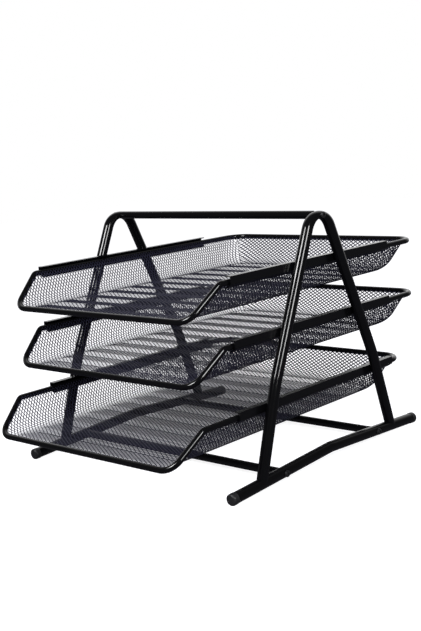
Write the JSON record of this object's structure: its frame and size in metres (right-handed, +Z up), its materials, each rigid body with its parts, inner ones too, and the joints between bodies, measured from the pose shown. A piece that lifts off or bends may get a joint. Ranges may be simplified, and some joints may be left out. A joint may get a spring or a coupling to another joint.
{
  "type": "letter tray",
  "caption": "Desk letter tray: wire mesh trays with low sloping fronts slide in rails between bowed tube side frames that a round handle bar and crossbars join.",
  "frame": {"origin": "middle of the overall box, on the table", "axes": "+Z up, +X to the right seen from the open low fronts of the trays, -Y towards those fronts"},
  "size_m": [0.2994, 0.4084, 0.2542],
  "materials": {
    "frame_paint": "gloss black paint",
    "rail_paint": "gloss black paint",
    "rim_paint": "gloss black paint",
    "mesh_paint": "satin black paint",
    "cap_plastic": "black moulded plastic",
    "screw_black": "black oxide",
    "insert_steel": "zinc plated"
  },
  "bodies": {
    "frame": {"left_a_frame_tube": "frame_paint", "right_a_frame_tube": "frame_paint", "left_foot_tube": "frame_paint", "right_foot_tube": "frame_paint", "left_front_foot_cap": "cap_plastic", "left_rear_foot_cap": "cap_plastic", "right_front_foot_cap": "cap_plastic", "right_rear_foot_cap": "cap_plastic", "top_handle_bar": "frame_paint", "front_crossbar": "frame_paint", "rear_crossbar": "frame_paint", "frame_screws": "screw_black", "bar_thread_inserts": "insert_steel", "top_left_rail": "rail_paint", "top_right_rail": "rail_paint", "middle_left_rail": "rail_paint", "middle_right_rail": "rail_paint", "bottom_left_rail": "rail_paint", "bottom_right_rail": "rail_paint"},
    "top_tray": {"top_tray_rim": "rim_paint", "top_tray_mesh": "mesh_paint"},
    "middle_tray": {"middle_tray_rim": "rim_paint", "middle_tray_mesh": "mesh_paint"},
    "bottom_tray": {"bottom_tray_rim": "rim_paint", "bottom_tray_mesh": "mesh_paint"}
  },
  "joints": [
    {"name": "top_tray_slide", "type": "slide", "parent": "frame", "child": "top_tray", "axis": [0, -1, 0], "range_m": [-0.0075, 0.15]},
    {"name": "middle_tray_slide", "type": "slide", "parent": "frame", "child": "middle_tray", "axis": [0, -1, 0], "range_m": [-0.0075, 0.15]},
    {"name": "bottom_tray_slide", "type": "slide", "parent": "frame", "child": "bottom_tray", "axis": [0, -1, 0], "range_m": [-0.0434, 0.1141]}
  ]
}
